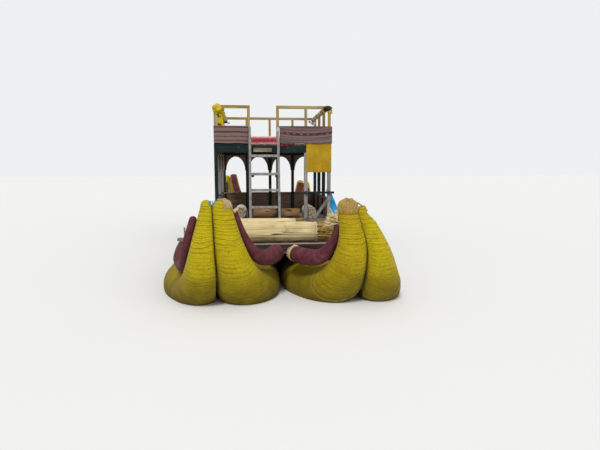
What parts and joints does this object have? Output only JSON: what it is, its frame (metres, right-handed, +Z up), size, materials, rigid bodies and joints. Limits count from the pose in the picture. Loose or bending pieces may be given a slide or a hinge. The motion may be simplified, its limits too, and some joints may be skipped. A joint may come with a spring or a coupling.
{
  "type": "twin-hull reed boat with two-storey cabin",
  "caption": "Twin-hull lake boat of wrapped reed bundles with upturned ends, a timber deck, an open arcaded cabin and a railed upper deck reached by a ladder.",
  "frame": {"origin": "middle of the boat's box, at the underside of the hull bundles", "axes": "+Z up, +Y along the boat from bow to stern, +X to the right as seen from ahead of the bow"},
  "size_m": [4.3799, 12.4641, 4.1701],
  "materials": {
    "banner_cloth": "striped woven cloth",
    "blanket_cloth": "striped shiny blanket",
    "blue_tarp": "tarpaulin",
    "brown_timber": "dark stained boards",
    "burgundy_cloth": "faded cloth wrapping, dusty",
    "deck_timber": "worn boards",
    "dry_reed": "dry totora reeds",
    "green_paint": "old dark green paint",
    "grey_timber": "weathered timber",
    "ladder_timber": "weathered pale timber",
    "rail_timber": "yellow varnished timber",
    "reed_wrap": "dyed net and cord over reeds, weathered",
    "yellow_paint": "mustard paint, worn",
    "yellow_tarp": "rolled tarpaulin"
  },
  "bodies": {
    "root": {"arcade_back": "brown_timber", "arcade_left": "brown_timber", "arcade_right": "brown_timber", "banner_left": "banner_cloth", "banner_right": "banner_cloth", "bay_rail": "green_paint", "bench": "rail_timber", "blanket": "blanket_cloth", "bow_roll_left": "burgundy_cloth", "bow_roll_right": "burgundy_cloth", "brace": "grey_timber", "bundle_left_inner": "reed_wrap", "bundle_left_outer": "reed_wrap", "bundle_right_inner": "reed_wrap", "bundle_right_outer": "reed_wrap", "crossbeams": "brown_timber", "deck_aft": "deck_timber", "deck_bearers": "grey_timber", "deck_cabin": "deck_timber", "deck_fore": "deck_timber", "deck_upper": "deck_timber", "gunwale_roll_left": "burgundy_cloth", "gunwale_roll_right": "burgundy_cloth", "joists": "green_paint", "ladder": "ladder_timber", "midrails_front": "rail_timber", "panel_yellow": "yellow_paint", "parapet_back": "brown_timber", "parapet_left": "brown_timber", "parapet_right": "brown_timber", "plates": "green_paint", "posts_back": "green_paint", "posts_front": "green_paint", "posts_left": "grey_timber", "posts_right": "grey_timber", "rail_back": "rail_timber", "rail_front": "rail_timber", "rail_left": "rail_timber", "rail_right": "rail_timber", "reed_roll_door": "dry_reed", "reed_roll_front": "dry_reed", "reed_roll_second": "dry_reed", "reed_tips": "dry_reed", "seat_roll_left": "dry_reed", "seat_roll_right": "dry_reed", "stern_roll_left": "burgundy_cloth", "stern_roll_right": "burgundy_cloth", "tarp_left": "yellow_tarp", "tarp_right": "yellow_tarp", "tarp_side": "blue_tarp", "thole_left": "grey_timber", "thole_right": "grey_timber", "upper_posts_back": "rail_timber", "upper_posts_front": "rail_timber", "upper_posts_left": "rail_timber", "upper_posts_right": "rail_timber"}
  },
  "joints": []
}
